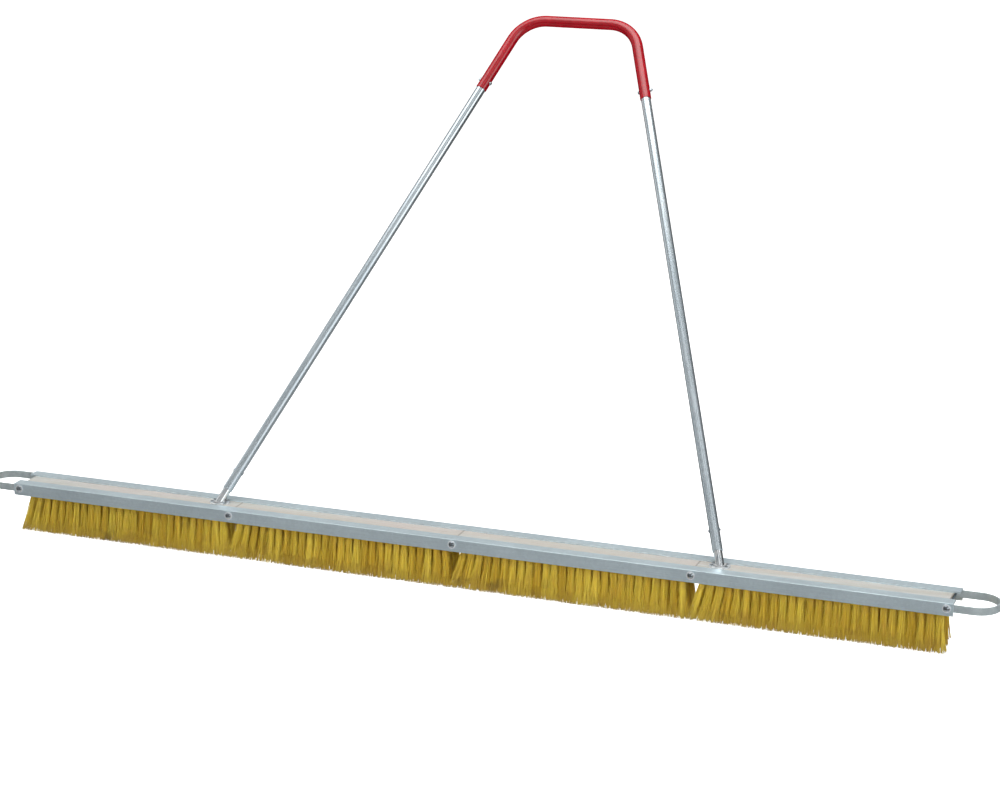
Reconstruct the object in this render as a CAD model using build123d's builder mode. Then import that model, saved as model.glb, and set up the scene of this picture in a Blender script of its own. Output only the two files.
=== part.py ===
"""Drag broom: four bristled wood blocks in a line, clamped between two metal angles by five
through-bolts, with a tow loop at each end and a leaning A-shaped tube handle.

Frame: millimetres, +X along the broom, +Y towards the side the handle leans to, +Z up.
The origin is on the ground plane, under the middle of the head.
"""

import os
from math import cos, radians, sin

from build123d import *

# Head: four block lengths between five equally spaced bolts
BAY = 533.4
BAYS = 4
HEAD_LENGTH = 2160
HEAD_DEPTH = 100
HEAD_HEIGHT = 110

# Metal angles along the front and the back
ANGLE_LEG = 27
ANGLE_FLANGE = 28
ANGLE_WALL = 3.2
ANGLE_EDGE_RADIUS = 1.2

# Wood blocks
BLOCK_THICKNESS = 22
BLOCK_TOP = HEAD_HEIGHT - ANGLE_WALL
BLOCK_BOTTOM = BLOCK_TOP - BLOCK_THICKNESS
BLOCK_DEPTH = HEAD_DEPTH - 2 * ANGLE_WALL
BLOCK_EDGE_RADIUS = 0.8

# Bristles: rows of tufts, drawn as sheets that splay from the block to the tips
ROW_PLACES_TOP = (-32, -16, 0, 16, 32)
ROW_PLACES_TIP = (-48, -24, 0, 24, 48)
ROW_THICKNESS = 4
SEAM_INSET_TOP = 12
SEAM_INSET_TIP = 0
LEFT_INSET_TOP = 22
LEFT_INSET_TIP = -3
RIGHT_INSET_TOP = 12
RIGHT_INSET_TIP = 7

# Through-bolts, their washers and nuts
BOLT_RADIUS = 3.175
BOLT_HOLE_RADIUS = 3.4
BOLT_HEIGHT = HEAD_HEIGHT - 11.5
BOLT_HEAD_RADIUS = 7
BOLT_HEAD_HEIGHT = 4.5
BOLT_END_BEYOND_NUT = 3
WASHER_RADIUS = 9
WASHER_THICKNESS = 1.5
NUT_ACROSS_FLATS = 11.1
NUT_THICKNESS = 5.5

# Tow loops: flat bar bent to a U, its two arms inside the angles
LOOP_BAR_HEIGHT = 15.8
LOOP_BAR_THICKNESS = 3
LOOP_SIDE_GAP = 0.15
LOOP_PIVOT_GAP = 0.05
LOOP_BEND_CENTRE = 1120
LOOP_END_RADIUS = 7.6
LOOP_OUTER = HEAD_DEPTH / 2 - ANGLE_WALL - LOOP_SIDE_GAP
LOOP_INNER = LOOP_OUTER - LOOP_BAR_THICKNESS
END_BOLT = BAY * BAYS / 2
LOOP_ARM_END = END_BOLT - LOOP_BAR_HEIGHT / 2
LOOP_REBATE_DEPTH = 4.5
LOOP_REBATE_LENGTH = 13

# Feet: oval plates screwed to the wood, each with a slanted post
FOOT_SPREAD = 581
FOOT_Y = 3
PLATE_LENGTH = 46
PLATE_DEPTH = 38
PLATE_THICKNESS = 3
PLATE_TOP = BLOCK_TOP + PLATE_THICKNESS
POST_RADIUS = 9.5
POST_WALL = 2
SCREW_PLACES = ((-15.5, -7.5), (15.5, -7.5), (-15.5, 7.5), (15.5, 7.5))
SCREW_RADIUS = 2.1
SCREW_LENGTH = 18
SCREW_HEAD_RADIUS = 3.2
SCREW_HEAD_HEIGHT = 2.2

# Handle: two legs in one leaning plane, joined by a U-shaped grip
HANDLE_LEAN = 36.5
GRIP_SPREAD = 200
GRIP_MOUTH = 1063
GRIP_TOP = 1247
GRIP_RADIUS = 12.7
GRIP_BEND_RADIUS = 80
TUBE_WALL = 1.6
LEG_RADIUS = GRIP_RADIUS - TUBE_WALL
LEG_START = 31
LEG_INTO_GRIP = 60
POST_INTO_LEG = 70

# Cross bolts at the grip and rivets at the posts, both across the leg in the handle's plane
GRIP_BOLT_ABOVE_MOUTH = 20
GRIP_BOLT_RADIUS = 2.5
GRIP_BOLT_HEAD_RADIUS = 4.5
GRIP_BOLT_HEAD_HEIGHT = 3.2
GRIP_NUT_ACROSS_FLATS = 8
GRIP_NUT_THICKNESS = 4
GRIP_BOLT_END_BEYOND_NUT = 2
RIVET_ALONG_LEG = 78
RIVET_RADIUS = 2.4
RIVET_HEAD_RADIUS = 4
RIVET_HEAD_HEIGHT = 1.8

# How far a cutting shape runs past what it cuts
CUT_PAST = 10

LEFT = -1
RIGHT = 1
BOLT_PLACES = [BAY * (index - BAYS / 2) for index in range(BAYS + 1)]

# Lengths along a leg, from the foot
LEG_LENGTH = ((FOOT_SPREAD - GRIP_SPREAD) ** 2 + GRIP_MOUTH**2) ** 0.5
GRIP_BOLT_PLACE = LEG_LENGTH + GRIP_BOLT_ABOVE_MOUTH

# The handle's plane: X along the broom, Y up the slope
HANDLE_PLANE = Plane(
    origin=(0, FOOT_Y, HEAD_HEIGHT),
    x_dir=(1, 0, 0),
    z_dir=(0, -cos(radians(HANDLE_LEAN)), sin(radians(HANDLE_LEAN))),
)


def facing(side_of_head, x, y, z=BOLT_HEIGHT):
    """A plane at (x, y, z) that faces out of the front (-1) or the back (+1) of the head."""
    return Plane(origin=(x, y, z), x_dir=(-side_of_head, 0, 0), z_dir=(0, side_of_head, 0))


def leg_plane(side, along=0):
    """A plane across a leg, its Z up the leg and its X pointing outwards in the handle's plane."""
    foot = Vector(side * FOOT_SPREAD, FOOT_Y, HEAD_HEIGHT)
    mouth = HANDLE_PLANE.from_local_coords(Vector(side * GRIP_SPREAD, GRIP_MOUTH, 0))
    up = (mouth - foot).normalized()
    outwards = up.cross(HANDLE_PLANE.z_dir) * side
    return Plane(origin=foot + up * along, x_dir=outwards, z_dir=up)


def across_leg(side, along, outwards, distance):
    """A plane facing inwards or outwards across a leg, a distance from the leg's own axis."""
    leg = leg_plane(side, along)
    direction = leg.x_dir * outwards
    return Plane(origin=leg.origin + direction * distance, x_dir=leg.z_dir, z_dir=direction)


def cross_rod(side, along, radius, length=2 * (GRIP_RADIUS + CUT_PAST)):
    """A round rod centred across a leg in the handle's plane, for a pin or for its hole."""
    with BuildPart() as rod:
        with BuildSketch(across_leg(side, along, 1, length / 2)):
            Circle(radius)
        extrude(amount=-length)
    return rod.part


def save(name, piece):
    """Label a finished piece and write it as one STEP file."""
    piece.part.label = name
    export_step(piece.part, f"parts/{name}.step")


def head_angle(side_of_head):
    """L-section along the head: an upright leg outside, a flange on top turned inwards."""
    with BuildPart() as angle:
        with BuildSketch(Plane.YZ.offset(-HEAD_LENGTH / 2)):
            with BuildLine():
                outer = side_of_head * HEAD_DEPTH / 2
                inwards = -side_of_head
                Polyline(
                    (outer, HEAD_HEIGHT - ANGLE_LEG),
                    (outer, HEAD_HEIGHT),
                    (outer + inwards * ANGLE_FLANGE, HEAD_HEIGHT),
                    (outer + inwards * ANGLE_FLANGE, HEAD_HEIGHT - ANGLE_WALL),
                    (outer + inwards * ANGLE_WALL, HEAD_HEIGHT - ANGLE_WALL),
                    (outer + inwards * ANGLE_WALL, HEAD_HEIGHT - ANGLE_LEG),
                    close=True,
                )
            make_face()
        extrude(amount=HEAD_LENGTH)
        fold = angle.edges().filter_by(Axis.X).group_by(Axis.Z)[-1].sort_by(Axis.Y)
        fillet(fold[-1 if side_of_head > 0 else 0], ANGLE_EDGE_RADIUS)
        for x in BOLT_PLACES:
            with BuildSketch(facing(side_of_head, x, side_of_head * HEAD_DEPTH / 2)):
                Circle(BOLT_HOLE_RADIUS)
            extrude(amount=-2 * ANGLE_WALL, mode=Mode.SUBTRACT)
    return angle


def wood_block(index):
    """One block. The bolts run in half-round grooves across its two ends."""
    left = BOLT_PLACES[index]
    middle = left + BAY / 2
    with BuildPart() as block:
        with BuildSketch(Plane.XY.offset(BLOCK_BOTTOM)):
            with Locations((middle, 0)):
                Rectangle(BAY, BLOCK_DEPTH)
        extrude(amount=BLOCK_THICKNESS)
        fillet(block.edges().filter_by(Axis.X).group_by(Axis.Z)[0], BLOCK_EDGE_RADIUS)
        for x in (left, left + BAY):
            with BuildSketch(facing(-1, x, -BLOCK_DEPTH / 2)):
                Circle(BOLT_HOLE_RADIUS)
            extrude(amount=-BLOCK_DEPTH, mode=Mode.SUBTRACT)
        for side, end_block in ((LEFT, 0), (RIGHT, BAYS - 1)):
            if index == end_block:
                with BuildSketch(Plane.XY.offset(BLOCK_BOTTOM)):
                    rebate_middle_y = (BLOCK_DEPTH - LOOP_REBATE_DEPTH) / 2
                    with Locations(
                        (side * (END_BOLT - LOOP_REBATE_LENGTH / 2), rebate_middle_y),
                        (side * (END_BOLT - LOOP_REBATE_LENGTH / 2), -rebate_middle_y),
                    ):
                        Rectangle(LOOP_REBATE_LENGTH, LOOP_REBATE_DEPTH)
                extrude(amount=BLOCK_THICKNESS, mode=Mode.SUBTRACT)
        for side in (LEFT, RIGHT):
            if left < side * FOOT_SPREAD < left + BAY:
                with BuildSketch(Plane.XY.offset(BLOCK_TOP)):
                    with Locations((side * FOOT_SPREAD, FOOT_Y)):
                        with Locations(*SCREW_PLACES):
                            Circle(SCREW_RADIUS)
                extrude(amount=-SCREW_LENGTH, mode=Mode.SUBTRACT)
    return block


def bristle_pack(index):
    """The rows of one block. Each row is a sheet that splays towards the tips."""
    left = BOLT_PLACES[index]
    right = left + BAY
    inset = {
        "left_top": LEFT_INSET_TOP if index == 0 else SEAM_INSET_TOP,
        "left_tip": LEFT_INSET_TIP if index == 0 else SEAM_INSET_TIP,
        "right_top": RIGHT_INSET_TOP if index == BAYS - 1 else SEAM_INSET_TOP,
        "right_tip": RIGHT_INSET_TIP if index == BAYS - 1 else SEAM_INSET_TIP,
    }
    with BuildPart() as pack:
        for y_top, y_tip in zip(ROW_PLACES_TOP, ROW_PLACES_TIP):
            for level, y in (("tip", y_tip), ("top", y_top)):
                start = left + inset[f"left_{level}"]
                end = right - inset[f"right_{level}"]
                with BuildSketch(Plane.XY.offset(0 if level == "tip" else BLOCK_BOTTOM)):
                    with Locations(((start + end) / 2, y)):
                        Rectangle(end - start, ROW_THICKNESS)
            loft()
    return pack


def through_bolts():
    """Domed bolts, heads at the front."""
    head_base = -HEAD_DEPTH / 2 - WASHER_THICKNESS
    shank = HEAD_DEPTH + 2 * WASHER_THICKNESS + NUT_THICKNESS + BOLT_END_BEYOND_NUT
    dome_radius = (BOLT_HEAD_RADIUS**2 + BOLT_HEAD_HEIGHT**2) / (2 * BOLT_HEAD_HEIGHT)
    with BuildPart() as bolts:
        for x in BOLT_PLACES:
            with BuildSketch(facing(-1, x, head_base)):
                Circle(BOLT_RADIUS)
            extrude(amount=-shank)
            head_plane = Plane(origin=(x, head_base, BOLT_HEIGHT), x_dir=(1, 0, 0), z_dir=(0, 0, 1))
            with BuildSketch(head_plane):
                with BuildLine():
                    Line((0, 0), (BOLT_HEAD_RADIUS, 0))
                    RadiusArc((BOLT_HEAD_RADIUS, 0), (0, -BOLT_HEAD_HEIGHT), dome_radius)
                    Line((0, -BOLT_HEAD_HEIGHT), (0, 0))
                make_face()
            revolve(axis=Axis((x, 0, BOLT_HEIGHT), (0, 1, 0)))
    return bolts


def washers(side_of_head):
    """One flat washer on each bolt, against the outside of an angle."""
    with BuildPart() as rings:
        for x in BOLT_PLACES:
            with BuildSketch(facing(side_of_head, x, side_of_head * HEAD_DEPTH / 2)):
                Circle(WASHER_RADIUS)
                Circle(BOLT_RADIUS, mode=Mode.SUBTRACT)
            extrude(amount=WASHER_THICKNESS)
    return rings


def through_bolt_nuts():
    """Hex nuts at the back."""
    with BuildPart() as nuts:
        for x in BOLT_PLACES:
            with BuildSketch(facing(1, x, HEAD_DEPTH / 2 + WASHER_THICKNESS)):
                RegularPolygon(NUT_ACROSS_FLATS / 2, 6, major_radius=False)
                Circle(BOLT_RADIUS, mode=Mode.SUBTRACT)
            extrude(amount=NUT_THICKNESS)
    return nuts


def tow_loop(side):
    """Flat bar bent to a U on edge, with a pivot hole near the rounded end of each arm."""
    arm = LOOP_BEND_CENTRE - LOOP_ARM_END
    with BuildPart() as loop:
        with BuildSketch(Plane.XY.offset(BOLT_HEIGHT - LOOP_BAR_HEIGHT / 2)):
            for half_width, mode in ((LOOP_OUTER, Mode.ADD), (LOOP_INNER, Mode.SUBTRACT)):
                with Locations((side * LOOP_BEND_CENTRE, 0)):
                    Circle(half_width, mode=mode)
                with Locations((side * (LOOP_BEND_CENTRE - arm / 2), 0)):
                    Rectangle(arm, 2 * half_width, mode=mode)
        extrude(amount=LOOP_BAR_HEIGHT)
        arm_ends = loop.edges().filter_by(Axis.Y).group_by(Axis.X)
        fillet(arm_ends[0 if side == RIGHT else -1], LOOP_END_RADIUS)
        with BuildSketch(facing(-1, side * END_BOLT, -HEAD_DEPTH / 2)):
            Circle(BOLT_RADIUS + LOOP_PIVOT_GAP)
        extrude(amount=-HEAD_DEPTH, mode=Mode.SUBTRACT)
    return loop


def foot_plate(side):
    """Oval plate on the wood, between the two flanges."""
    with BuildPart() as plate:
        with BuildSketch(Plane.XY.offset(BLOCK_TOP)):
            with Locations((side * FOOT_SPREAD, FOOT_Y)):
                SlotOverall(PLATE_LENGTH, PLATE_DEPTH)
                with Locations(*SCREW_PLACES):
                    Circle(SCREW_RADIUS, mode=Mode.SUBTRACT)
        extrude(amount=PLATE_THICKNESS)
    return plate


def foot_post(side):
    """Slanted tube that stands on the plate and carries the leg."""
    with BuildPart() as post:
        with BuildSketch(leg_plane(side, -4 * POST_RADIUS)):
            Circle(POST_RADIUS)
            Circle(POST_RADIUS - POST_WALL, mode=Mode.SUBTRACT)
        extrude(amount=4 * POST_RADIUS + LEG_START + POST_INTO_LEG)
        split(bisect_by=Plane.XY.offset(PLATE_TOP), keep=Keep.TOP)
        add(cross_rod(side, RIVET_ALONG_LEG, RIVET_RADIUS), mode=Mode.SUBTRACT)
    return post


def foot_screws():
    """Round-headed wood screws, four in each plate."""
    with BuildPart() as screws:
        for side in (LEFT, RIGHT):
            for height, radius, amount in (
                (PLATE_TOP, SCREW_RADIUS, -(PLATE_THICKNESS + SCREW_LENGTH)),
                (PLATE_TOP, SCREW_HEAD_RADIUS, SCREW_HEAD_HEIGHT),
            ):
                with BuildSketch(Plane.XY.offset(height)):
                    with Locations((side * FOOT_SPREAD, FOOT_Y)):
                        with Locations(*SCREW_PLACES):
                            Circle(radius)
                extrude(amount=amount)
    return screws


def leg_tube(side):
    """Straight tube over the post at its foot and inside the grip at its top."""
    with BuildPart() as leg:
        with BuildSketch(leg_plane(side, LEG_START)):
            Circle(LEG_RADIUS)
            Circle(POST_RADIUS, mode=Mode.SUBTRACT)
        extrude(amount=LEG_LENGTH + LEG_INTO_GRIP - LEG_START)
        add(cross_rod(side, RIVET_ALONG_LEG, RIVET_RADIUS), mode=Mode.SUBTRACT)
        add(cross_rod(side, GRIP_BOLT_PLACE, GRIP_BOLT_RADIUS), mode=Mode.SUBTRACT)
    return leg


def grip_tube():
    """U-shaped tube whose two arms run on down the line of the legs."""
    slope = (FOOT_SPREAD - GRIP_SPREAD) / GRIP_MOUTH
    corner = GRIP_SPREAD - slope * (GRIP_TOP - GRIP_MOUTH)
    with BuildPart() as grip:
        with BuildLine(HANDLE_PLANE) as centre_line:
            FilletPolyline(
                (-GRIP_SPREAD, GRIP_MOUTH),
                (-corner, GRIP_TOP),
                (corner, GRIP_TOP),
                (GRIP_SPREAD, GRIP_MOUTH),
                radius=GRIP_BEND_RADIUS,
            )
        with BuildSketch(leg_plane(LEFT, LEG_LENGTH)):
            Circle(GRIP_RADIUS)
            Circle(LEG_RADIUS, mode=Mode.SUBTRACT)
        sweep(path=centre_line.wire())
        for side in (LEFT, RIGHT):
            add(cross_rod(side, GRIP_BOLT_PLACE, GRIP_BOLT_RADIUS), mode=Mode.SUBTRACT)
    return grip


def cross_head(side, along, outwards, radius, height, distance):
    """A round head on one end of a cross pin, its rim rounded over."""
    with BuildPart() as head:
        with BuildSketch(across_leg(side, along, outwards, distance)):
            Circle(radius)
        extrude(amount=height)
        leg = leg_plane(side)
        outermost = head.faces().sort_by(Axis(leg.origin, leg.x_dir * outwards))[-1]
        fillet(outermost.edges(), 0.7 * height)
    return head.part


def grip_bolts():
    """Bolts across the grip: heads between the legs, threaded ends outside."""
    threaded_end = GRIP_NUT_THICKNESS + GRIP_BOLT_END_BEYOND_NUT
    with BuildPart() as bolts:
        for side in (LEFT, RIGHT):
            with BuildSketch(across_leg(side, GRIP_BOLT_PLACE, 1, GRIP_RADIUS + threaded_end)):
                Circle(GRIP_BOLT_RADIUS)
            extrude(amount=-(2 * GRIP_RADIUS + threaded_end))
            add(
                cross_head(
                    side,
                    GRIP_BOLT_PLACE,
                    -1,
                    GRIP_BOLT_HEAD_RADIUS,
                    GRIP_BOLT_HEAD_HEIGHT,
                    GRIP_RADIUS,
                )
            )
    return bolts


def grip_bolt_nuts():
    """Hex nuts on the outer ends of the grip's bolts."""
    with BuildPart() as nuts:
        for side in (LEFT, RIGHT):
            with BuildSketch(across_leg(side, GRIP_BOLT_PLACE, 1, GRIP_RADIUS)):
                RegularPolygon(GRIP_NUT_ACROSS_FLATS / 2, 6, major_radius=False)
                Circle(GRIP_BOLT_RADIUS, mode=Mode.SUBTRACT)
            extrude(amount=GRIP_NUT_THICKNESS)
    return nuts


def leg_rivets():
    """One rivet through each leg and the post inside it."""
    with BuildPart() as rivets:
        for side in (LEFT, RIGHT):
            add(cross_rod(side, RIVET_ALONG_LEG, RIVET_RADIUS, 2 * LEG_RADIUS))
            for outwards in (-1, 1):
                add(
                    cross_head(
                        side,
                        RIVET_ALONG_LEG,
                        outwards,
                        RIVET_HEAD_RADIUS,
                        RIVET_HEAD_HEIGHT,
                        LEG_RADIUS,
                    )
                )
    return rivets


os.makedirs("parts", exist_ok=True)

save("front_angle", head_angle(-1))
save("back_angle", head_angle(1))
for block_index in range(BAYS):
    save(f"wood_block_{block_index + 1}", wood_block(block_index))
    save(f"bristle_pack_{block_index + 1}", bristle_pack(block_index))
save("through_bolts", through_bolts())
save("front_washers", washers(-1))
save("back_washers", washers(1))
save("through_bolt_nuts", through_bolt_nuts())
for side_name, side_sign in (("left", LEFT), ("right", RIGHT)):
    save(f"{side_name}_tow_loop", tow_loop(side_sign))
    save(f"{side_name}_foot_plate", foot_plate(side_sign))
    save(f"{side_name}_foot_post", foot_post(side_sign))
    save(f"{side_name}_leg_tube", leg_tube(side_sign))
save("foot_screws", foot_screws())
save("grip_tube", grip_tube())
save("grip_bolts", grip_bolts())
save("grip_bolt_nuts", grip_bolt_nuts())
save("leg_rivets", leg_rivets())
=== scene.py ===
"""The drag broom's looks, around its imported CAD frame: filament bristles in place of the plain packs,
weld beads at the feet, and a worn, grained material on every piece. Metres, in the CAD's own frame."""

from math import cos, pi, radians, sin, tau

import bmesh
import bpy
import numpy as np
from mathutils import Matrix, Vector


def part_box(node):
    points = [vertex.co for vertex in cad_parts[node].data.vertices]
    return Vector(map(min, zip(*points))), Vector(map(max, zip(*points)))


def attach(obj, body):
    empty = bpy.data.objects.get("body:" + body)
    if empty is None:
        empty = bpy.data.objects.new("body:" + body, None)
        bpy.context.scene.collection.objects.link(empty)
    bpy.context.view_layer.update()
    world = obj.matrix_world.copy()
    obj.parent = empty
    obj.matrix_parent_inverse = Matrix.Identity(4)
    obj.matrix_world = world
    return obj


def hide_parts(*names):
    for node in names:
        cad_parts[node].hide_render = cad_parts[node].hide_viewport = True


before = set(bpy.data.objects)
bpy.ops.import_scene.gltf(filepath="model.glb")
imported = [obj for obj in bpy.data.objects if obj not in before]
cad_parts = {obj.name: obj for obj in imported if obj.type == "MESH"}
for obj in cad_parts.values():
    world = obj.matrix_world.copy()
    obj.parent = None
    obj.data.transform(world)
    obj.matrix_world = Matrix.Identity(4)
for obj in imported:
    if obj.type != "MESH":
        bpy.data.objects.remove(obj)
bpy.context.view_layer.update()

MM = 0.001
BLOCKS = 4
END_STAIN = 3 * MM
POST_LEAN = 36

# Tufts: how they stand in a block's underside, and how they spread to the ground
SEED = 40
ROOT_ROWS = [-32 * MM, -16 * MM, 0, 16 * MM, 32 * MM]
ROOT_DEPTH = 1 * MM
ROW_SPREAD = 1.28
TUFTS_IN_ROW = 27
END_INSET = 23 * MM
LEFT_END_INSET = 29 * MM
RIGHT_END_INSET = 15.5 * MM
ROW_STEP_BACK = 0.6 * MM
LEAN_REACH = 115 * MM
LEAN_FADE = 1.4
SEAM_LEAN = 21 * MM
LEFT_END_LEAN = 28 * MM
LEFT_END_FRONT_SHARE = 0.75
RIGHT_LEAN_REACH = 40 * MM
RIGHT_LEAN = 9 * MM
RIGHT_END_LEAN = 5 * MM
TUFT_WANDER = 0.7 * MM

# Filaments in a tuft
FILAMENTS = 52
ROOT_RADIUS = 6.5 * MM
TIP_RADIUS = 12.8 * MM
TIP_RADIUS_SHARES = (0.8, 1.1)
STRAY = 1.6 * MM
BOW = 0.9 * MM
LATE_SPREAD = 0.25
FARTHEST_TIP = 51 * MM
LOWEST_TIP = 0.3 * MM
TIP_UNEVENNESS = 1.0 * MM
FILAMENT_RADIUS = 0.75 * MM
SIDES = 4
RINGS = 4
GOLDEN_ANGLE = 2.39996

# Weld beads
BEAD_RADIUS = 2.2 * MM
BEAD_STEPS = 180
BEAD_RIPPLES = 30
BEAD_PROFILE = 7
POST_FOOT_HEIGHT = 0.2 * MM

# The studio's floor and wall, and its black card's corners on the floor
WALL_SIDES = 96
WALL_RADIUS = 30
WALL_HEIGHT = 20
CARD_NEAR = (3.3, 1.2)
CARD_FAR = (1.6, 3.1)
CARD_HEIGHT = 2.3

# Greys of the surroundings by height: 0 is straight down, 0.5 is level and 1 is straight up
SURROUNDING_GREYS = ((0.0, 1.0), (0.16, 0.85), (0.28, 0.1), (0.49, 0.1), (0.54, 0.32), (1.0, 0.32))

# The camera: lens and film width in millimetres, angles in degrees
LENS = 91.87
FILM_WIDTH = 36
CAMERA_PLACE = (1.9547, -4.8277, 1.9197)
CAMERA_DOWN = 16.193
CAMERA_TURN = 21.1


# ---------------------------------------------------------------- shader helpers


class Finish:
    """A material under construction: a Principled surface and the nodes that feed it."""

    def __init__(self, name):
        self.material = bpy.data.materials.new(name)
        self.material.use_nodes = True
        self.nodes = self.material.node_tree.nodes
        self.surface = self.nodes["Principled BSDF"]
        self.place = self.node("ShaderNodeTexCoord").outputs["Object"]

    def node(self, kind, settings=None, **inputs):
        """A node with these settings, its inputs linked from sockets or set to plain values."""
        made = self.nodes.new(kind)
        for name, value in (settings or {}).items():
            setattr(made, name, value)
        for name, value in inputs.items():
            self.put(made.inputs[name.replace("_", " ")], value)
        return made

    def put(self, socket, value):
        """The value in a socket, linked if it comes from another socket."""
        if isinstance(value, bpy.types.NodeSocket):
            self.material.node_tree.links.new(value, socket)
        else:
            socket.default_value = value

    def set(self, **inputs):
        """Inputs of the Principled surface."""
        for name, value in inputs.items():
            self.put(self.surface.inputs[name.replace("_", " ")], value)

    def stretched(self, scale, rotation=(0, 0, 0), location=(0, 0, 0)):
        """Object coordinates in a turned frame, each divided by its scale."""
        mapping = self.node("ShaderNodeMapping", {"vector_type": "TEXTURE"}, Vector=self.place)
        mapping.inputs["Scale"].default_value = scale
        mapping.inputs["Rotation"].default_value = rotation
        mapping.inputs["Location"].default_value = location
        return mapping.outputs["Vector"]

    def noise(self, scale, where=None, detail=4.0, roughness=0.55):
        """Cloudy noise, from nought to one."""
        made = self.node(
            "ShaderNodeTexNoise",
            Vector=where or self.place,
            Scale=scale,
            Detail=detail,
            Roughness=roughness,
        )
        return made.outputs["Fac"]

    def cells(self, scale):
        """A random grey for each cell of a Voronoi pattern."""
        made = self.node("ShaderNodeTexVoronoi", Vector=self.place, Scale=scale)
        return self.node("ShaderNodeRGBToBW", Color=made.outputs["Color"]).outputs["Val"]

    def sum(self, first, second, operation="ADD"):
        """Two numbers added up, or put through another operation of the Math node."""
        made = self.node("ShaderNodeMath", {"operation": operation})
        self.put(made.inputs[0], first)
        self.put(made.inputs[1], second)
        return made.outputs["Value"]

    def times(self, first, second):
        return self.sum(first, second, "MULTIPLY")

    def between(self, value, low, high, to_low=0.0, to_high=1.0):
        """The value's place between low and high, as a number from to_low to to_high."""
        made = self.node(
            "ShaderNodeMapRange",
            Value=value,
            From_Min=low,
            From_Max=high,
            To_Min=to_low,
            To_Max=to_high,
        )
        return made.outputs["Result"]

    def mix(self, share, first, second):
        """The first colour, with this share of the second mixed in."""
        made = self.node("ShaderNodeMix", {"data_type": "RGBA"})
        self.put(made.inputs["Factor"], share)
        for socket, value in zip((made.inputs[6], made.inputs[7]), (first, second)):
            self.put(socket, value if isinstance(value, bpy.types.NodeSocket) else (*value, 1))
        return made.outputs[2]

    def axis(self, name, where=None):
        """One coordinate, X, Y or Z."""
        parts = self.node("ShaderNodeSeparateXYZ", Vector=where or self.place)
        return parts.outputs[name]

    def edges(self, radius):
        """Nought on a face, rising to one on the sharp edges of the shape."""
        bevel = self.node("ShaderNodeBevel", {"samples": 4}, Radius=radius)
        plain = self.node("ShaderNodeNewGeometry")
        dot = self.node("ShaderNodeVectorMath", {"operation": "DOT_PRODUCT"})
        self.put(dot.inputs[0], bevel.outputs["Normal"])
        self.put(dot.inputs[1], plain.outputs["Normal"])
        return self.between(dot.outputs["Value"], 0.99, 0.8)

    def relief(self, height, distance):
        """A bump on the surface, distance high where height goes from nought to one."""
        bump = self.node("ShaderNodeBump", Height=height, Distance=distance)
        self.set(Normal=bump.outputs["Normal"])


def paint(material, *names):
    """The material on these CAD nodes."""
    for name in names:
        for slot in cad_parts[name].material_slots:
            slot.material = material


def long_axis_turn(name):
    """The Euler turn that takes Z to the long axis of a straight CAD node."""
    points = np.array([v.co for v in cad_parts[name].data.vertices])
    axis = np.linalg.svd(points - points.mean(0), full_matrices=False)[2][0]
    return Vector(axis).to_track_quat("Z", "Y").to_euler()


# ---------------------------------------------------------------- materials


def angle_metal():
    """Rolled metal: drawn along its length, with faint spangle and scratches, and a painted highlight
    along its edges.
    """
    m = Finish("angle_metal")
    along = m.stretched((60, 1, 1))
    drawn = m.noise(700, along, detail=6)
    cloud = m.noise(7, detail=3)
    spangle = m.cells(170)
    tone = m.sum(m.times(drawn, 0.45), m.times(cloud, 0.4))
    tone = m.sum(tone, m.times(spangle, 0.15))
    colour = m.mix(m.between(tone, 0.35, 0.65), (0.60, 0.71, 0.76), (0.73, 0.85, 0.90))
    scratch = m.between(m.noise(260, m.stretched((26, 1.4, 1), (0, 0.02, 0.05))), 0.68, 0.74)
    colour = m.mix(m.times(scratch, 0.35), colour, (0.84, 0.88, 0.90))
    # Painted highlight: the sharp edges and the fold are mixed toward a pale blue-grey.
    colour = m.mix(m.times(m.edges(1.2 * MM), 0.6), colour, (0.80, 0.88, 0.92))
    m.set(Base_Color=colour, Metallic=0.58, Roughness=m.between(tone, 0.3, 0.7, 0.3, 0.46))
    m.relief(m.sum(drawn, m.times(scratch, -0.6)), 0.06 * MM)
    return m.material


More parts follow.
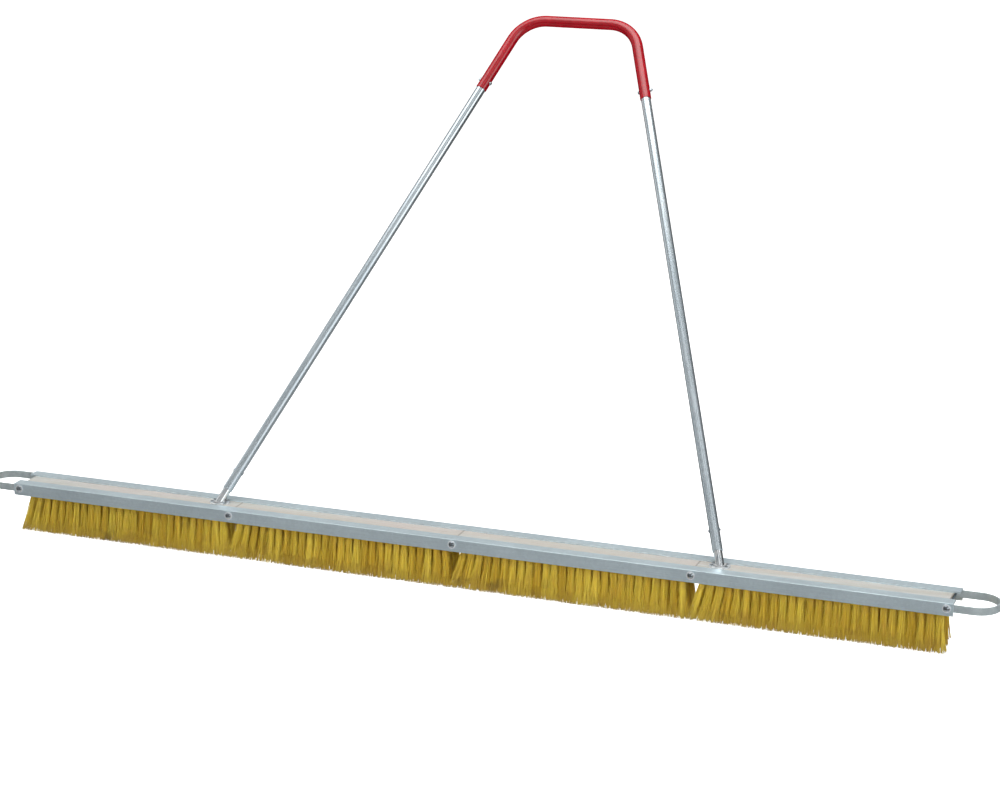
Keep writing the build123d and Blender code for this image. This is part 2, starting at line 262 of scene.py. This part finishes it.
def block_wood(number):
    """Sanded wood, each block cut from another part of the log, with stained ends."""
    m = Finish(f"block_wood_{number}")
    cut = m.stretched((18, 1, 1), (0, 0.01 * number, 0.02 - 0.013 * number), (0.4 * number, 0, 0))
    heart = (0.3 * number, (0.09, -0.05, 0.13, 0.02)[number - 1], 0.03)
    log = m.stretched((14, 1, 1), (0, 0.004 * number, 0.01 * number - 0.02), heart)
    rings = m.node(
        "ShaderNodeTexWave",
        {"wave_type": "RINGS", "rings_direction": "X"},
        Vector=log,
        Scale=46,
        Distortion=5,
        Detail=3,
        Detail_Scale=1.6,
    ).outputs["Fac"]
    fibre = m.noise(1300, m.stretched((70, 1, 1)), detail=5)
    board = m.noise(16, cut, detail=4)
    flush = m.noise(9, m.stretched((5, 1, 1), location=(0.7 * number, 0, 0)), detail=2)
    colour = m.mix(m.between(rings, 0.1, 0.9), (0.56, 0.58, 0.54), (0.66, 0.69, 0.68))
    colour = m.mix(m.between(board, 0.45, 0.7), colour, (0.61, 0.57, 0.51))
    colour = m.mix(m.times(m.between(flush, 0.5, 0.68), 0.6), colour, (0.66, 0.58, 0.55))
    colour = m.mix(m.times(m.between(fibre, 0.35, 0.75), 0.3), colour, (0.46, 0.36, 0.26))
    pores = m.between(m.noise(2600, m.stretched((30, 1, 1)), detail=1), 0.66, 0.72)
    colour = m.mix(m.times(pores, 0.5), colour, (0.33, 0.24, 0.16))
    colour = m.mix(m.times(m.edges(1.5 * MM), 0.35), colour, (0.34, 0.25, 0.18))
    low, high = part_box(f"wood_block_{number}")
    from_left = m.between(m.axis("X"), low.x + END_STAIN, low.x, 0.0, 0.7)
    from_right = m.between(m.axis("X"), high.x - END_STAIN, high.x, 0.0, 0.7)
    colour = m.mix(m.sum(from_left, from_right), colour, (0.20, 0.17, 0.14))
    m.set(Base_Color=colour, Roughness=m.between(fibre, 0.3, 0.7, 0.5, 0.68), IOR=1.45)
    m.relief(m.sum(m.times(rings, 0.4), m.sum(fibre, m.times(pores, -0.8))), 0.12 * MM)
    return m.material


def bristle_plastic():
    """Mustard filaments, each of its own tone, with painted shade: browner toward the block, darker
    toward the cut tips, and dark patches low down for the shadowed gaps between parted tufts.
    """
    m = Finish("bristle_plastic")
    strand = m.node("ShaderNodeAttribute", {"attribute_name": "strand"}).outputs["Fac"]
    tuft = m.node("ShaderNodeAttribute", {"attribute_name": "tuft"}).outputs["Fac"]
    down = m.node("ShaderNodeAttribute", {"attribute_name": "down"}).outputs["Fac"]
    shade = m.sum(m.times(strand, 0.6), m.times(tuft, 0.6))
    colour = m.mix(m.between(shade, 0.2, 0.85), (0.75, 0.49, 0.040), (1.0, 0.78, 0.105))
    patch = m.noise(26, detail=2)
    colour = m.mix(m.times(m.between(patch, 0.5, 0.7), 0.5), colour, (0.72, 0.45, 0.07))
    # Painted shade under the block: the filaments turn browner toward their roots.
    colour = m.mix(m.between(down, 0.30, 0.0, 0.0, 0.45), colour, (0.60, 0.30, 0.02))
    # Painted shadow: dark patches low down, where parted tufts would show the shaded rows behind.
    painted_gap_shade = m.times(m.between(m.noise(14, detail=3), 0.62, 0.72), m.between(down, 0.4, 0.9))
    colour = m.mix(m.times(painted_gap_shade, 0.6), colour, (0.16, 0.07, 0.03))
    # Painted shade near the floor: a little darker toward the tips, and dark at the cut ends.
    colour = m.mix(m.between(down, 0.55, 1.0, 0.0, 0.2), colour, (0.30, 0.17, 0.02))
    colour = m.mix(m.between(down, 0.96, 0.99, 0.0, 0.5), colour, (0.16, 0.10, 0.02))
    ribs = m.noise(900, m.stretched((1, 1, 12)), detail=2)
    m.set(Base_Color=colour, Roughness=m.between(ribs, 0.3, 0.7, 0.38, 0.55), IOR=1.48)
    m.relief(ribs, 0.05 * MM)
    return m.material


def bright_fasteners(part, fresh, tarnished, metallic, smoothest):
    """Zinc on bolts, nuts and washers, with fine turning marks and a little tarnish."""
    m = Finish(f"bright_fasteners_{part}")
    marks = m.noise(1500, m.stretched((1, 6, 1)), detail=5)
    tarnish = m.noise(220, detail=4)
    colour = m.mix(m.between(tarnish, 0.4, 0.7), fresh, tarnished)
    roughness = m.between(tarnish, 0.3, 0.7, smoothest, smoothest + 0.09)
    m.set(Base_Color=colour, Metallic=metallic, Roughness=roughness)
    m.relief(marks, 0.03 * MM)
    return m.material


def loop_steel():
    """Dull zinc-coated flat bar, mottled, with a few brown specks, and lighter along its edges."""
    m = Finish("loop_steel")
    mottle = m.noise(60, detail=6, roughness=0.65)
    grain = m.noise(1100, detail=3)
    colour = m.mix(m.between(mottle, 0.35, 0.65), (0.44, 0.51, 0.53), (0.58, 0.65, 0.67))
    rust = m.between(m.noise(38, m.stretched((2, 1, 1), location=(0.3, 0, 0))), 0.6, 0.72)
    colour = m.mix(m.times(rust, 0.4), colour, (0.27, 0.19, 0.10))
    colour = m.mix(m.times(m.edges(0.8 * MM), 0.6), colour, (0.62, 0.66, 0.67))
    m.set(Base_Color=colour, Metallic=0.3, Roughness=m.between(mottle, 0.3, 0.7, 0.36, 0.55))
    m.relief(m.sum(grain, m.times(mottle, 0.5)), 0.08 * MM)
    return m.material


def foot_steel(part, metallic):
    """Bright zinc on the feet, with painted reflections as dark streaks along the posts, and a little
    straw from the weld's heat.
    """
    m = Finish(f"foot_steel_{part}")
    brushed = m.noise(900, m.stretched((1, 1, 10)), detail=4)
    cloud = m.noise(70, detail=4)
    # Painted reflection: dark streaks along the posts, mixed into the colour below.
    painted_reflection_streaks = m.noise(260, m.stretched((1, 1, 14), (radians(-POST_LEAN), 0, 0)), detail=1)
    colour = m.mix(m.between(cloud, 0.35, 0.65), (0.80, 0.86, 0.90), (0.95, 0.97, 0.98))
    colour = m.mix(m.between(painted_reflection_streaks, 0.52, 0.62, 0.0, 0.6), colour, (0.34, 0.40, 0.44))
    heat = m.between(m.axis("Z"), 120 * MM, 111 * MM)
    heat = m.times(heat, m.between(m.noise(130, detail=3), 0.5, 0.66))
    colour = m.mix(m.times(heat, 0.3), colour, (0.42, 0.36, 0.28))
    roughness = m.between(brushed, 0.3, 0.7, 0.1, 0.2)
    m.set(Base_Color=colour, Metallic=metallic, Roughness=roughness)
    m.relief(brushed, 0.05 * MM)
    return m.material


def weld_bead():
    """Rippled weld metal, greyer than the parts it joins."""
    m = Finish("weld_bead")
    scale = m.noise(420, detail=5)
    colour = m.mix(m.between(scale, 0.4, 0.7), (0.50, 0.52, 0.53), (0.26, 0.25, 0.24))
    m.set(Base_Color=colour, Metallic=0.9, Roughness=m.between(scale, 0.3, 0.7, 0.28, 0.5))
    m.relief(scale, 0.15 * MM)
    return m.material


def leg_metal(node):
    """Drawn tube: bright, with long fine draw lines and handling marks; painted shade darkens it toward
    the lower end, which is also rougher and less metallic.
    """
    m = Finish(f"leg_metal_{node.split('_')[0]}")
    turn = long_axis_turn(node)
    drawn = m.noise(1400, m.stretched((1, 1, 90), turn), detail=5)
    smear = m.noise(34, m.stretched((1, 1, 4), turn), detail=4)
    tone = m.sum(m.times(drawn, 0.5), m.times(smear, 0.5))
    colour = m.mix(m.between(tone, 0.35, 0.65), (0.62, 0.71, 0.76), (0.80, 0.87, 0.91))
    # Painted shade: the colour darkens toward the lower end; the same mask makes it rougher and less
    # metallic there.
    low_shade_and_dullness = m.between(m.sum(m.axis("Z"), m.times(smear, 0.3)), 1.05, 0.7)
    colour = m.mix(m.times(low_shade_and_dullness, 0.4), colour, (0.47, 0.55, 0.61))
    nicks = m.between(m.noise(210, m.stretched((1, 1, 3), turn), detail=2), 0.70, 0.76)
    colour = m.mix(m.times(nicks, 0.4), colour, (0.36, 0.37, 0.37))
    roughness = m.sum(m.between(tone, 0.3, 0.7, 0.16, 0.26), m.times(low_shade_and_dullness, 0.06))
    m.set(Base_Color=colour, Metallic=m.between(low_shade_and_dullness, 0.0, 1.0, 0.92, 0.78), Roughness=roughness)
    m.relief(m.sum(drawn, m.times(nicks, -1)), 0.04 * MM)
    return m.material


def grip_red():
    """Glossy red coating with a fine orange-peel surface, rubbed dull underneath by fingers."""
    m = Finish("grip_red")
    peel = m.noise(400, detail=2, roughness=0.4)
    cloud = m.noise(24, detail=3)
    colour = m.mix(m.between(cloud, 0.35, 0.65), (0.42, 0.001, 0.009), (0.52, 0.002, 0.014))
    scuff = m.between(m.noise(150, m.stretched((3, 1, 1)), detail=5), 0.66, 0.74)
    colour = m.mix(m.times(scuff, 0.3), colour, (0.55, 0.09, 0.09))
    colour = m.mix(m.times(m.edges(0.8 * MM), 0.5), colour, (0.24, 0.01, 0.015))
    turned_away = m.node("ShaderNodeLayerWeight", Blend=0.5).outputs["Facing"]
    roughness = m.sum(m.between(cloud, 0.3, 0.7, 0.12, 0.2), m.times(scuff, 0.2))
    gloss = m.between(turned_away, 0.2, 0.5, 0.9, 0.04)
    facing = m.node("ShaderNodeNewGeometry").outputs["Normal"]
    gloss = m.times(gloss, m.between(m.axis("Z", facing), -0.5, 0.1, 0.1, 1.0))
    m.set(Base_Color=colour, Roughness=roughness, Specular_IOR_Level=gloss)
    m.relief(peel, 0.008 * MM)
    return m.material


def floor_paint():
    """Pale matt paint that glows a little, so that the studio reads as white."""
    m = Finish("floor_paint")
    grain = m.noise(30, detail=3)
    m.set(
        Base_Color=m.mix(grain, (0.90, 0.90, 0.90), (0.92, 0.92, 0.92)),
        Roughness=0.9,
        Specular_IOR_Level=0.1,
        Emission_Color=(1, 1, 1, 1),
        Emission_Strength=0.8,
    )
    return m.material


# ---------------------------------------------------------------- bristles


def row_places(block, row):
    """The tufts' places along one row of a block. Every other row is shifted half a pitch."""
    low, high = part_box(f"wood_block_{block}")
    left = low.x + (LEFT_END_INSET if block == 1 else END_INSET)
    right = high.x - (RIGHT_END_INSET if block == BLOCKS else END_INSET) - row * ROW_STEP_BACK
    places = np.linspace(left, right, TUFTS_IN_ROW)
    return places if row % 2 == 0 else (places[1:] + places[:-1]) / 2


def lean(block, row, places):
    """How far the tips stand to the right of the roots: well to the left at a block's left end."""
    low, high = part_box(f"wood_block_{block}")
    most = LEFT_END_LEAN if block == 1 else SEAM_LEAN
    leftwards = most * np.clip(1 - (places - low.x - END_INSET) / LEAN_REACH, 0, 1) ** LEAN_FADE
    if row == 0 and block == 1:
        leftwards *= LEFT_END_FRONT_SHARE
    farthest = RIGHT_END_LEAN if block == BLOCKS else RIGHT_LEAN
    rightwards = farthest * np.clip(1 - (high.x - END_INSET - places) / RIGHT_LEAN_REACH, 0, 1)
    return rightwards * (1 - row / len(ROOT_ROWS)) - leftwards


def tuft_lines(block, rng):
    """For one block, each filament's root, tip, tuft's random number and sideways spread."""
    root_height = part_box(f"wood_block_{block}")[0].z + ROOT_DEPTH
    turn = np.arange(FILAMENTS) * GOLDEN_ANGLE
    reach = np.sqrt((np.arange(FILAMENTS) + 0.5) / FILAMENTS)
    roots, tips, tufts, flares = [], [], [], []
    for row, y in enumerate(ROOT_ROWS):
        places = row_places(block, row)
        for x, shift in zip(places, lean(block, row, places)):
            spin = turn + rng.uniform(0, tau)
            disc = reach[:, None] * np.stack([np.cos(spin), np.sin(spin)], 1)
            # Tips fill a square, so that neighbours meet, but a row's end tufts stay round
            squarer = np.abs(disc).max(1, keepdims=True) / reach[:, None]
            if x in (places[0], places[-1]):
                squarer = 1
            wander = rng.normal(0, TUFT_WANDER, 2)
            spread = TIP_RADIUS * rng.uniform(*TIP_RADIUS_SHARES, (FILAMENTS, 1)) / squarer
            stray = rng.normal(0, STRAY, (FILAMENTS, 2))
            root = np.array([x, y]) + ROOT_RADIUS * disc
            flare = (spread - ROOT_RADIUS) * disc + stray
            tip = np.array([x + shift, y * ROW_SPREAD]) + wander + ROOT_RADIUS * disc + flare
            tip[:, 1] = np.clip(tip[:, 1], -FARTHEST_TIP, FARTHEST_TIP)
            height = LOWEST_TIP + np.abs(rng.normal(0, TIP_UNEVENNESS, FILAMENTS))
            roots.append(np.column_stack([root, np.full(FILAMENTS, root_height)]))
            tips.append(np.column_stack([tip, height]))
            tufts.append(np.full(FILAMENTS, rng.random()))
            flares.append(np.column_stack([flare, np.zeros(FILAMENTS)]))
    return [np.concatenate(rows) for rows in (roots, tips, tufts, flares)]


def filament_mesh(name, roots, tips, flares, rng):
    """Slightly bowed, closed rods that spread late, and each ring's share of the way down."""
    count = len(roots)
    along = np.linspace(0, 1, RINGS)
    bow = np.column_stack([rng.normal(0, BOW, (count, 2)), np.zeros(count)])
    centre = roots[:, None] + (tips - roots)[:, None] * along[None, :, None]
    hump = (4 * along * (1 - along))[None, :, None]
    centre += (bow - LATE_SPREAD * flares)[:, None] * hump
    spin = rng.uniform(0, tau, count)[:, None] + np.arange(SIDES)[None, :] * tau / SIDES
    ring = FILAMENT_RADIUS * np.stack([np.cos(spin), np.sin(spin), np.zeros_like(spin)], 2)
    points = centre[:, :, None, :] + ring[:, None, :, :]
    corner = np.arange(count * RINGS * SIDES).reshape(count, RINGS, SIDES)
    after = np.roll(corner, -1, axis=2)
    walls = np.stack([corner[:, 1:], after[:, 1:], after[:, :-1], corner[:, :-1]], 3)
    faces = np.concatenate([walls.reshape(-1, SIDES), corner[:, 0], corner[:, -1, ::-1]])
    mesh = bpy.data.meshes.new(name)
    mesh.from_pydata(points.reshape(-1, 3), [], faces)
    smooth = np.ones(len(faces), bool)
    smooth[-2 * count :] = False
    mesh.polygons.foreach_set("use_smooth", smooth)
    return mesh, np.repeat(along[None, :], count, 0)


def bristles(block, material):
    """One block's tufts as one piece in place of its plain CAD pack."""
    rng = np.random.default_rng(SEED + block)
    roots, tips, tufts, flares = tuft_lines(block, rng)
    mesh, down = filament_mesh(f"bristle_tufts_{block}", roots, tips, flares, rng)
    values = {
        "strand": np.repeat(rng.random(len(roots)), RINGS * SIDES),
        "tuft": np.repeat(tufts, RINGS * SIDES),
        "down": np.repeat(down.ravel(), SIDES),
    }
    for name, value in values.items():
        attribute = mesh.attributes.new(name, "FLOAT", "POINT")
        attribute.data.foreach_set("value", value.astype(np.float32))
    mesh.materials.append(material)
    piece = bpy.data.objects.new(f"bristle_tufts_{block}", mesh)
    bpy.context.scene.collection.objects.link(piece)
    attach(piece, "broom")
    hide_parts(f"bristle_pack_{block}")


# ---------------------------------------------------------------- weld beads


def weld(side, material):
    """A rippled bead round the post where it meets its plate."""
    plate_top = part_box(f"{side}_foot_plate")[1].z
    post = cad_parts[f"{side}_foot_post"]
    points = np.array([v.co for v in post.data.vertices])
    foot = points[points[:, 2] < plate_top + POST_FOOT_HEIGHT]
    centre = (foot.min(0) + foot.max(0)) / 2
    half = (foot.max(0) - foot.min(0)) / 2
    mesh = bmesh.new()
    rings = []
    for step in range(BEAD_STEPS):
        angle = tau * step / BEAD_STEPS
        swell = 1 + 0.16 * sin(BEAD_RIPPLES * angle) + 0.08 * sin(3 * angle + 1)
        reach = BEAD_RADIUS * swell
        out = Vector((cos(angle), sin(angle), 0))
        x = centre[0] + half[0] * cos(angle)
        y = centre[1] + half[1] * sin(angle)
        base = Vector((x, y, plate_top))
        ring = []
        for share in range(BEAD_PROFILE):
            turn = pi * share / (BEAD_PROFILE - 1)
            rise = Vector((0, 0, reach * sin(turn)))
            ring.append(mesh.verts.new(base + out * (reach * cos(turn)) + rise))
        rings.append(ring)
    for ring, after in zip(rings, rings[1:] + rings[:1]):
        for k in range(BEAD_PROFILE):
            up = (k + 1) % BEAD_PROFILE
            mesh.faces.new((ring[k], after[k], after[up], ring[up]))
    data = bpy.data.meshes.new(f"{side}_foot_weld")
    mesh.to_mesh(data)
    mesh.free()
    data.polygons.foreach_set("use_smooth", [True] * len(data.polygons))
    data.materials.append(material)
    piece = bpy.data.objects.new(f"{side}_foot_weld", data)
    bpy.context.scene.collection.objects.link(piece)
    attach(piece, "broom")


# ---------------------------------------------------------------- studio


def floor():
    """A pale floor, and a round wall far behind it that casts no shadow."""
    turns = [tau * step / WALL_SIDES for step in range(WALL_SIDES)]
    rim = [(WALL_RADIUS * cos(turn), WALL_RADIUS * sin(turn), 0) for turn in turns]
    top = [(x, y, WALL_HEIGHT) for x, y, _ in rim]
    sides = [(k, (k + 1) % WALL_SIDES) for k in range(WALL_SIDES)]
    wall = [(k, after, after + WALL_SIDES, k + WALL_SIDES) for k, after in sides]
    coating = floor_paint()
    for name, points, faces in (
        ("floor", rim, [tuple(range(WALL_SIDES))]),
        ("backdrop", rim + top, wall),
    ):
        mesh = bpy.data.meshes.new(name)
        mesh.from_pydata(points, [], faces)
        mesh.materials.append(coating)
        made = bpy.data.objects.new(name, mesh)
        made.visible_glossy = False
        made.visible_diffuse = False
        made.visible_shadow = name == "floor"
        bpy.context.scene.collection.objects.link(made)


def dark_card():
    """A black card at the right and behind, seen only in gloss. It darkens the tubes' edges."""
    coat = Finish("card_black")
    coat.set(Base_Color=(0.01, 0.01, 0.01, 1), Roughness=0.9, Specular_IOR_Level=0.0)
    corners = [(*place, height) for place in (CARD_NEAR, CARD_FAR) for height in (0, CARD_HEIGHT)]
    mesh = bpy.data.meshes.new("card")
    mesh.from_pydata(corners, [], [(0, 2, 3, 1)])
    mesh.materials.append(coat.material)
    made = bpy.data.objects.new("card", mesh)
    made.visible_camera = False
    made.visible_diffuse = False
    made.visible_shadow = False
    bpy.context.scene.collection.objects.link(made)


def softbox(name, place, aim, width, depth, power, turn=0, spread=180, seen="both"):
    """An area light at a place, turned to its aim, seen by dull surfaces, in gloss, or by both."""
    data = bpy.data.lights.new(name, "AREA")
    data.shape = "RECTANGLE"
    data.size, data.size_y = width, depth
    data.energy = power
    data.spread = radians(spread)
    made = bpy.data.objects.new(name, data)
    made.visible_camera = False
    made.visible_glossy = seen != "low_shade_and_dullness"
    made.visible_diffuse = seen != "gloss"
    made.location = place
    made.rotation_euler = (Vector(aim) - Vector(place)).to_track_quat("-Z", "Y").to_euler()
    made.rotation_euler.rotate_axis("Z", radians(turn))
    bpy.context.scene.collection.objects.link(made)


def surroundings():
    """A studio's soft light: bright from the floor, dim just under eye level, mid grey above."""
    world = bpy.data.worlds.new("studio")
    bpy.context.scene.world = world
    world.use_nodes = True
    nodes, links = world.node_tree.nodes, world.node_tree.links
    direction = nodes.new("ShaderNodeTexCoord")
    parts = nodes.new("ShaderNodeSeparateXYZ")
    links.new(direction.outputs["Generated"], parts.inputs["Vector"])
    height = nodes.new("ShaderNodeMapRange")
    height.inputs["From Min"].default_value = -1
    links.new(parts.outputs["Z"], height.inputs["Value"])
    ramp = nodes.new("ShaderNodeValToRGB")
    stops = ramp.color_ramp.elements
    for index, (place, grey) in enumerate(SURROUNDING_GREYS):
        stop = stops[index] if index < 2 else stops.new(place)
        stop.position = place
        stop.color = (grey, grey, grey, 1)
    links.new(height.outputs["Result"], ramp.inputs["Fac"])
    background = nodes["Background"]
    links.new(ramp.outputs["Color"], background.inputs["Color"])
    background.inputs["Strength"].default_value = 1.0


def camera():
    """A long lens in front and to the right, looking down a little at the broom."""
    data = bpy.data.cameras.new("camera")
    data.lens = LENS
    data.sensor_width = FILM_WIDTH
    made = bpy.data.objects.new("camera", data)
    made.location = CAMERA_PLACE
    made.rotation_euler = (radians(90 - CAMERA_DOWN), 0, radians(CAMERA_TURN))
    bpy.context.scene.collection.objects.link(made)
    bpy.context.scene.camera = made


camera()
floor()
surroundings()
dark_card()
softbox("ceiling_right", (0.24, 0.9, 4.0), (0.24, 0.9, 0), 3.4, 2.8, 84, turn=38)
softbox("ceiling_left", (-1.98, -0.07, 4.0), (-1.98, -0.07, 0), 3.3, 2.4, 40, turn=-34)
softbox("front", (0.67, -1.12, 2.45), (-0.25, 0.5, 0.8), 0.7, 0.8, 1.2, seen="gloss")
softbox("right", (3.1, -1.1, 1.1), (-0.35, 0.4, 0.7), 3.4, 2.2, 30)
softbox("fill", (0.4, -5.0, 2.0), (0, 0, 0.1), 3.0, 0.5, 7.7, spread=40, seen="low_shade_and_dullness")
softbox("glint", (1.09, -0.01, 1.055), (0.525, 0.1, 0.24), 0.12, 0.5, 0.3, turn=-24.5, seen="gloss")
softbox("left", (-3.4, 0.8, 1.1), (0, 0.8, 1.1), 2.6, 1.9, 7, seen="gloss")
bpy.context.scene.view_settings.view_transform = "Standard"

paint(angle_metal(), "front_angle", "back_angle")
for number in range(1, BLOCKS + 1):
    paint(block_wood(number), f"wood_block_{number}")
dark_zinc = bright_fasteners("bolts", (0.34, 0.38, 0.41), (0.20, 0.22, 0.24), 1.0, 0.03)
paint(dark_zinc, "through_bolts", "through_bolt_nuts")
pale_zinc = bright_fasteners("washers", (0.90, 0.94, 0.97), (0.72, 0.78, 0.82), 0.15, 0.25)
paint(pale_zinc, "front_washers", "back_washers")
bright_zinc = bright_fasteners("small", (0.56, 0.62, 0.66), (0.36, 0.40, 0.42), 1.0, 0.05)
paint(bright_zinc, "foot_screws", "leg_rivets", "grip_bolts", "grip_bolt_nuts")
paint(loop_steel(), "left_tow_loop", "right_tow_loop")
paint(foot_steel("plate", 0.4), "left_foot_plate", "right_foot_plate")
paint(foot_steel("post", 0.9), "left_foot_post", "right_foot_post")
for side in ("left", "right"):
    paint(leg_metal(f"{side}_leg_tube"), f"{side}_leg_tube")
paint(grip_red(), "grip_tube")

plastic = bristle_plastic()
for number in range(1, BLOCKS + 1):
    bristles(number, plastic)
bead = weld_bead()
for side in ("left", "right"):
    weld(side, bead)
